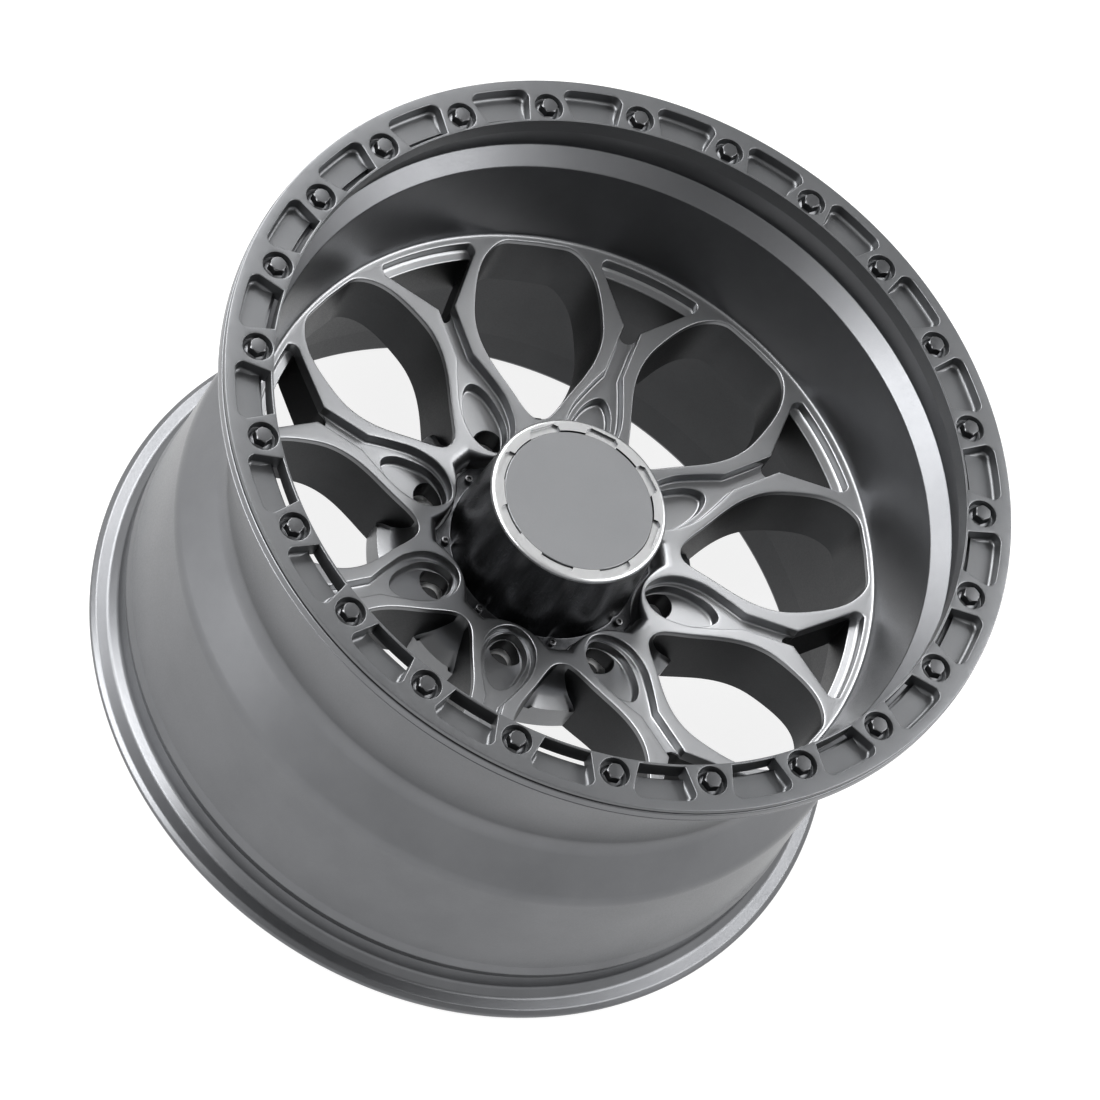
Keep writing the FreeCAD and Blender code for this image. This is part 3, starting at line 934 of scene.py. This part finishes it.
def outer_ring(finish):
    """Flat ring with sunk bolt seats and slotted pockets between them."""
    outline, slot_index = pocket_outline()
    count = len(outline)
    far_index = count - slot_index
    half_index = count // 2

    def outer_part(ring):
        return ring[slot_index:far_index + 1]

    def inner_part(ring):
        return ring[far_index:] + ring[:slot_index + 1]

    def ring_at(amount, drop):
        moved = inset(outline, amount)
        return [(x, y, ring_front - drop) for x, y in moved]

    radii = np.array([hypot(*p) for p in outline])
    taper = np.clip((radii - slot_r) / pocket_fillet_fade, 0, 1)
    edge = [ring_at(amount, drop) for amount, drop in rounded_edge(ring_edge_round)]
    wall = [outer_part(ring) for ring in edge]
    bridge = [inner_part(ring) for ring in edge]
    for amount, drop in bottom_fillet(pocket_fillet, pocket_depth, 0.4):
        wall.append(outer_part(ring_at(amount * taper, drop)))
        flat = ring_at(0 * taper, drop)
        bridge.append(inner_part(flat))
    bridge.append([(x, y, ring_back) for x, y, z in inner_part(flat)])
    slot_angle = np.arctan2(outline[far_index][1], outline[far_index][0])
    lip = circle_arc(slot_r, slot_angle, -slot_angle)
    slot_rings = [[(x, y, ring_front - pocket_depth) for x, y in lip], [(x, y, ring_back) for x, y in lip]]
    floor = [(x, y) for x, y, z in wall[-1]] + lip[1:-1]
    pocket = [skin(wall, False), skin(bridge, False), skin(slot_rings, False),
              sheet([floor], lambda r: ring_front - pocket_depth, 0)]
    for patch in pocket:
        turned_over(patch, HALF_BOLT)

    top_half = rotated([(x, y) for x, y, z in edge[0][:half_index + 1]], HALF_BOLT)
    slot_half = outline[:slot_index + 1] + circle_arc(slot_r, -slot_angle, 0.0)[1:]
    slot_half = rotated(slot_half, HALF_BOLT)
    inner = circle_arc(ring_inner_r + ring_edge_round, -HALF_BOLT, HALF_BOLT)
    outer = circle_arc(ring_r - 1.0, -HALF_BOLT, HALF_BOLT)
    step_r = ring_step_r - ring_clearance
    bolt = (bolt_circle_r, 0.0)
    seat_top = circle(bolt, bolt_seat_r + 0.6)
    hole = circle(bolt, bolt_hole_r)
    top = sheet([sector_loop(inner, top_half, outer), seat_top], lambda r: ring_front, 0)
    seat = [[(x, y, ring_front) for x, y in seat_top]]
    for r, drop in ((bolt_seat_r + 0.17, 0.17), (bolt_seat_r, 0.6), (bolt_seat_r, bolt_seat_depth - 0.5),
                    (bolt_seat_r - 0.5, bolt_seat_depth), (bolt_hole_r, bolt_seat_depth),
                    (bolt_hole_r, ring_front - ring_back)):
        seat.append([(x, y, ring_front - drop) for x, y in circle(bolt, r)])
    inner_rings = [[(x, y, z) for x, y in at_radius(inner, r)] for r, z in (
        (ring_inner_r + ring_edge_round, ring_front), (ring_inner_r + 0.2, ring_front - 0.2),
        (ring_inner_r, ring_front - ring_edge_round), (ring_inner_r, ring_back + 0.5),
        (ring_inner_r + 0.5, ring_back))]
    outer_rings = [[(x, y, z) for x, y in at_radius(outer, r)] for r, z in (
        (ring_r - 1.0, ring_front), (ring_r - 0.3, ring_front - 0.3), (ring_r, ring_front - 1.0),
        (ring_r, ring_edge_z + 0.6), (ring_r - 0.6, ring_edge_z), (step_r, ring_edge_z), (step_r, ring_back))]
    back_loop = sector_loop(at_radius(inner, ring_inner_r + 0.5), slot_half, at_radius(outer, step_r))
    back = sheet([back_loop, hole], lambda r: ring_back, 0)
    patches = pocket + [top, skin(seat), skin(inner_rings, False), skin(outer_rings, False), back]
    ring = sealed(turned_copies(joined("outer_ring", patches), RING_BOLTS))
    return dressed(ring, "ring_grey", ["outer_ring"], finish)


def hex_ring(r, steps=HEAD_POINTS):
    """Hexagon of inscribed radius r, drawn with many points so that it meets a circle point for point."""
    ring = []
    for n in range(steps):
        angle = 2 * pi * n / steps
        turn = (angle + pi / 6) % (pi / 3) - pi / 6
        ring.append(polar(r / cos(turn), angle))
    return ring


def head_circle(r):
    return circle((0, 0), r, HEAD_POINTS)


def ring_bolts(finish):
    """Flanged hexagon bolts in the ring's sunk seats."""
    seat = ring_front - bolt_seat_depth
    flange = seat + bolt_flange_height
    top = ring_front + bolt_proud
    rings = [[(0.0, 0.0, seat)] * HEAD_POINTS]
    for outline, z in ((head_circle(bolt_flange_r - 0.3), seat),
                       (head_circle(bolt_flange_r), seat + 0.3),
                       (head_circle(bolt_flange_r), flange - 1.0),
                       (head_circle(bolt_flange_r - 0.35), flange - 0.6),
                       (hex_ring(bolt_hex_r + 0.25), flange),
                       (hex_ring(bolt_hex_r), flange + 0.3),
                       (hex_ring(bolt_hex_r), top - 0.9),
                       (hex_ring(bolt_hex_r - 0.12), top - 0.7),
                       (head_circle(bolt_hex_r - 0.2), top - 0.15),
                       (head_circle(bolt_hex_r - 0.5), top)):
        rings.append([(x, y, z) for x, y in outline])
    rings.append([(0.0, 0.0, top)] * HEAD_POINTS)
    bolt = skin(rings)
    bolt.name = "ring_bolts"
    bolt.data.transform(Matrix.Translation((bolt_circle_r * MM, 0, 0)))
    bolts = sealed(turned_copies(bolt, RING_BOLTS))
    return dressed(bolts, "bolt_steel", ["ring_bolts"], finish)


# Hub cap

def cap_wall_r(z):
    return cap_base_r + (cap_top_r - cap_base_r) * (z - cap_seat_z) / (cap_top_z - cap_seat_z)


def hub_cap(finish, bright):
    """Tall tapered cap with a lobed flange, screw reliefs and a bright notched rim."""
    angles = [2 * HALF_SPOKE * n / CAP_SPANS - HALF_SPOKE for n in range(CAP_SPANS + 1)]

    def wall_ring(r, z):
        ring = []
        for angle in angles:
            across = screw_circle_r * sin(abs(angle) - HALF_SPOKE)
            here = r
            if abs(across) < screw_groove_r:
                reach = screw_circle_r * cos(abs(angle) - HALF_SPOKE)
                here = min(r, reach - sqrt(screw_groove_r ** 2 - across ** 2))
            ring.append((*polar(here, angle), z))
        return ring

    start = cap_top_z - cap_round
    flange = hub_outline(cap_between_r, cap_tab_r)
    foot = [(*polar(cap_wall_r(cap_flange_z) + 1.0, a), cap_flange_z) for a in angles]
    wall = [foot, wall_ring(cap_wall_r(cap_flange_z) + 0.3, cap_flange_z + 0.3)]
    wall += [wall_ring(cap_wall_r(z), z) for z in cap_wall_heights]
    wall.append(wall_ring(cap_wall_r(start), start))
    for n in range(1, ROUND_STEPS + 1):
        angle = pi / 2 * n / ROUND_STEPS
        r = cap_wall_r(start) - cap_round * (1 - cos(angle))
        wall.append(wall_ring(r, start + cap_round * sin(angle)))
    rim_outer = [(x, y) for x, y, z in wall[-1]]
    patches = [skin(wall, False)]

    flange_rings = [[(x, y, z) for x, y in radial_inset(flange, amount)] for amount, z in (
        (0.8, cap_flange_z), (0.25, cap_flange_z - 0.25), (0.0, cap_flange_z - 0.8), (0.0, cap_seat_z))]
    flange_rings.append([(x, y, cap_seat_z) for x, y in at_radius(flange, cap_base_r - cap_shell)])
    inside_z = cap_plate_z - cap_plate_thickness
    flange_rings.append([(x, y, inside_z) for x, y in at_radius(flange, cap_inside_top_r)])
    flange_rings.append([(0.0, 0.0, inside_z)] * len(flange))
    patches.append(skin(flange_rings, False))
    flange_top = [(x, y) for x, y, z in flange_rings[0]]
    foot_line = [(x, y) for x, y, z in foot]
    patches.append(sheet([flange_top + list(reversed(foot_line))], lambda r: cap_flange_z, 0))

    root = sqrt(cap_rim_r ** 2 - notch_half ** 2)
    turn = np.arctan2(notch_half, root)
    notch = [(root, -notch_half), (notch_reach - notch_chamfer, -notch_half),
             (notch_reach, notch_chamfer - notch_half)]
    notch += mirrored(notch)
    before = circle_arc(cap_rim_r, -HALF_SPOKE, -turn, 2.0)
    between = circle_arc(cap_rim_r, -turn, turn, 2.0)
    after = circle_arc(cap_rim_r, turn, HALF_SPOKE, 2.0)
    notch_z = cap_top_z - notch_depth
    inner_edge = before + notch[1:-1] + after
    patches.append(sheet([inner_edge + list(reversed(rim_outer))], lambda r: cap_top_z, 0))
    patches.append(sheet([notch + list(reversed(between))[1:-1]], lambda r: notch_z, 0))
    for outline, heights in ((notch, (cap_top_z, notch_z)), (before, (cap_top_z, notch_z, cap_plate_z)),
                             (between, (notch_z, cap_plate_z)), (after, (cap_top_z, notch_z, cap_plate_z))):
        patches.append(skin([[(x, y, z) for x, y in outline] for z in heights], False))
    seat = before + between[1:-1] + after
    patches.append(skin([[(x, y, cap_plate_z) for x, y in seat],
                         [(0.0, 0.0, cap_plate_z)] * len(seat)], False))
    cap = sealed(turned_copies(joined("hub_cap", patches), SPOKES))
    cap = dressed(cap, "cap_dark", ["hub_cap"], finish, bright)
    for face in cap.data.polygons:
        x, y, z = face.center / MM
        if z > cap_plate_z + 0.4 and (face.normal.z > 0.25 or hypot(x, y) > cap_top_r - cap_round):
            face.material_index = SECOND_SLOT
    return cap


def cap_disc(finish):
    """Plain disc let into the cap's rim."""
    profile = rounded([(0.0, cap_plate_z, 0), (disc_r, cap_plate_z, 0.3), (disc_r, disc_top_z, 0.5),
                       (0.0, disc_top_z, 0)], 4)
    return dressed(spun("cap_disc", profile, 160, False), "disc_grey", ["cap_disc"], finish)


def cap_screws(finish):
    """Socket-head screws on the cap's tabs."""
    top = cap_flange_z + screw_head_height
    rings = [[(0.0, 0.0, cap_flange_z)] * HEAD_POINTS]
    for outline, z in ((head_circle(screw_head_r), cap_flange_z),
                       (head_circle(screw_head_r), top - 0.4),
                       (head_circle(screw_head_r - 0.12), top - 0.12),
                       (head_circle(screw_head_r - 0.4), top),
                       (hex_ring(screw_socket_r + 0.15), top),
                       (hex_ring(screw_socket_r), top - 0.25),
                       (hex_ring(screw_socket_r - 0.05), top - 1.6)):
        rings.append([(x, y, z) for x, y in outline])
    rings.append([(0.0, 0.0, top - 1.9)] * HEAD_POINTS)
    screw = skin(rings)
    screw.name = "cap_screws"
    place = Matrix.Rotation(HALF_SPOKE, 4, "Z") @ Matrix.Translation((screw_circle_r * MM, 0, 0))
    screw.data.transform(place)
    screws = sealed(turned_copies(screw, SPOKES))
    return dressed(screws, "screw_steel", ["cap_screws"], finish)


# Stage

def seen_directly(nodes, links):
    """Value that is 1 for rays that show the background: from the camera, mirrored or through glass."""
    path = nodes.new("ShaderNodeLightPath")
    first = nodes.new("ShaderNodeMath")
    first.operation = "MAXIMUM"
    links.new(path.outputs["Is Camera Ray"], first.inputs[0])
    links.new(path.outputs["Is Glossy Ray"], first.inputs[1])
    both = nodes.new("ShaderNodeMath")
    both.operation = "MAXIMUM"
    links.new(first.outputs[0], both.inputs[0])
    links.new(path.outputs["Is Transmission Ray"], both.inputs[1])
    return both.outputs[0]


def floor_material():
    """White floor: as bright as the backdrop to the eye, with the wheel's shadow still on it."""
    material = bpy.data.materials.new("white_floor")
    material.use_nodes = True
    nodes = material.node_tree.nodes
    links = material.node_tree.links
    nodes.remove(nodes["Principled BSDF"])
    output = nodes["Material Output"]
    matt = nodes.new("ShaderNodeBsdfDiffuse")
    matt.inputs["Color"].default_value = (0.22, 0.22, 0.22, 1)
    dark = nodes.new("ShaderNodeBsdfDiffuse")
    dark.inputs["Color"].default_value = (0.5, 0.5, 0.5, 1)
    glow = nodes.new("ShaderNodeEmission")
    glow.inputs["Strength"].default_value = 0.86
    both = nodes.new("ShaderNodeAddShader")
    links.new(matt.outputs[0], both.inputs[0])
    links.new(glow.outputs[0], both.inputs[1])
    mix = nodes.new("ShaderNodeMixShader")
    links.new(seen_directly(nodes, links), mix.inputs[0])
    links.new(dark.outputs[0], mix.inputs[1])
    links.new(both.outputs[0], mix.inputs[2])
    links.new(mix.outputs[0], output.inputs["Surface"])
    return material


def floor():
    bpy.ops.mesh.primitive_plane_add(size=40, location=(0, 0, cad_box[0][2]))
    plane = bpy.context.object
    plane.name = "floor"
    plane.data.materials.append(floor_material())


def world():
    """Pale studio: a white backdrop all round and a greyer ceiling, weaker as a light."""
    sky = bpy.data.worlds.new("studio")
    sky.use_nodes = True
    bpy.context.scene.world = sky
    nodes = sky.node_tree.nodes
    links = sky.node_tree.links
    background = nodes["Background"]
    background.inputs["Color"].default_value = (1, 1, 1, 1)
    place = nodes.new("ShaderNodeTexCoord")
    split = nodes.new("ShaderNodeSeparateXYZ")
    links.new(place.outputs["Generated"], split.inputs["Vector"])
    ceiling = nodes.new("ShaderNodeMapRange")
    ceiling.inputs["From Min"].default_value = 0.25
    ceiling.inputs["From Max"].default_value = 0.75
    ceiling.inputs["To Min"].default_value = 1.0
    ceiling.inputs["To Max"].default_value = 0.3
    links.new(split.outputs["Z"], ceiling.inputs["Value"])
    level = nodes.new("ShaderNodeMapRange")
    level.inputs["To Min"].default_value = 0.35
    links.new(seen_directly(nodes, links), level.inputs["Value"])
    links.new(ceiling.outputs["Result"], level.inputs["To Max"])
    links.new(level.outputs["Result"], background.inputs["Strength"])


camera_azimuth = radians(-12.625)
camera_elevation = radians(54.239)
camera_roll = radians(35.554)
camera_distance = 3.2728
camera_target = Vector((0.0, 0.0035, 0.0445))
camera_lens = 158.316
back = Vector((cos(camera_elevation) * cos(camera_azimuth), cos(camera_elevation) * sin(camera_azimuth),
               sin(camera_elevation)))
level_right = Vector((-sin(camera_azimuth), cos(camera_azimuth), 0.0))
level_up = back.cross(level_right)
right = level_right * cos(camera_roll) + level_up * sin(camera_roll)
up = level_up * cos(camera_roll) - level_right * sin(camera_roll)


def camera():
    data = bpy.data.cameras.new("camera")
    data.sensor_width = 36.0
    data.lens = camera_lens
    holder = bpy.data.objects.new("camera", data)
    bpy.context.scene.collection.objects.link(holder)
    holder.matrix_world = (Matrix.Translation(camera_target + back * camera_distance)
                           @ Matrix((right, up, back)).transposed().to_4x4())
    bpy.context.scene.camera = holder


def softbox(name, place, aim, size, power):
    data = bpy.data.lights.new(name, "AREA")
    data.shape = "RECTANGLE"
    data.size = size[0]
    data.size_y = size[1]
    data.energy = power
    lamp = bpy.data.objects.new(name, data)
    bpy.context.scene.collection.objects.link(lamp)
    lamp.location = place
    lamp.rotation_euler = (place - aim).to_track_quat("Z", "Y").to_euler()


def lights():
    middle = Vector((0, 0, 0.1))
    softbox("key", middle + back * 1.6 - right * 1.6 + up * 0.9, middle, (1.6, 1.6), 80)
    softbox("top", middle + up * 1.8 + back * 0.6 - right * 0.2, middle, (1.6, 1.0), 50)
    softbox("side", middle + right * 1.8 + back * 0.9, middle, (1.0, 1.6), 26)
    softbox("fill", middle + right * 1.8 + up * 0.9 + back * 0.4, middle, (0.8, 0.8), 16)


# Putting it together

grain = grain_group()
gunmetal = metal("gunmetal_satin", grain, (0.130, 0.133, 0.139), (0.165, 0.168, 0.175), 0.34, 0.42)
# lighter copy of the barrel's paint for the spokes of the same casting: painted light on the spoke faces
spoke_lit_paint = metal("spoke_satin_painted_light", grain, (0.235, 0.239, 0.247), (0.285, 0.289, 0.297), 0.33, 0.41)
# near-black copy of the casting's paint, laid on hollows and walls as painted shade
shaded = metal("painted_shade_dark", grain, (0.036, 0.037, 0.039), (0.050, 0.051, 0.053), 0.40, 0.50)
ring_paint = metal("ring_satin", grain, (0.120, 0.123, 0.128), (0.148, 0.151, 0.156), 0.38, 0.46)
bolt_grey = metal("bolt_grey", grain, (0.095, 0.097, 0.101), (0.125, 0.127, 0.132), 0.30, 0.40)
bare_metal = metal("bare_machined", grain, (0.78, 0.78, 0.78), (0.88, 0.88, 0.88), 0.36, 0.44, grain=0.01)
cap_paint = metal("cap_brushed", grain, (0.045, 0.046, 0.049), (0.095, 0.097, 0.102), 0.26, 0.38,
                  stretch=(6, 6, 0.25), mottle_scale=30.0)
rim_silver = metal("rim_silver", grain, (0.60, 0.605, 0.61), (0.67, 0.675, 0.68), 0.30, 0.38, grain=0.01)
disc_paint = metal("disc_satin", grain, (0.215, 0.219, 0.226), (0.240, 0.244, 0.251), 0.40, 0.48)
screw_black = metal("screw_black", grain, (0.10, 0.10, 0.105), (0.17, 0.17, 0.175), 0.28, 0.38)

rim_barrel(gunmetal, shaded)
spoke_disc(spoke_lit_paint, bare_metal, shaded)
outer_ring(ring_paint)
ring_bolts(bolt_grey)
hub_cap(cap_paint, rim_silver)
cap_disc(disc_paint)
cap_screws(screw_black)

floor()
world()
camera()
lights()
bpy.context.scene.view_settings.view_transform = "Standard"
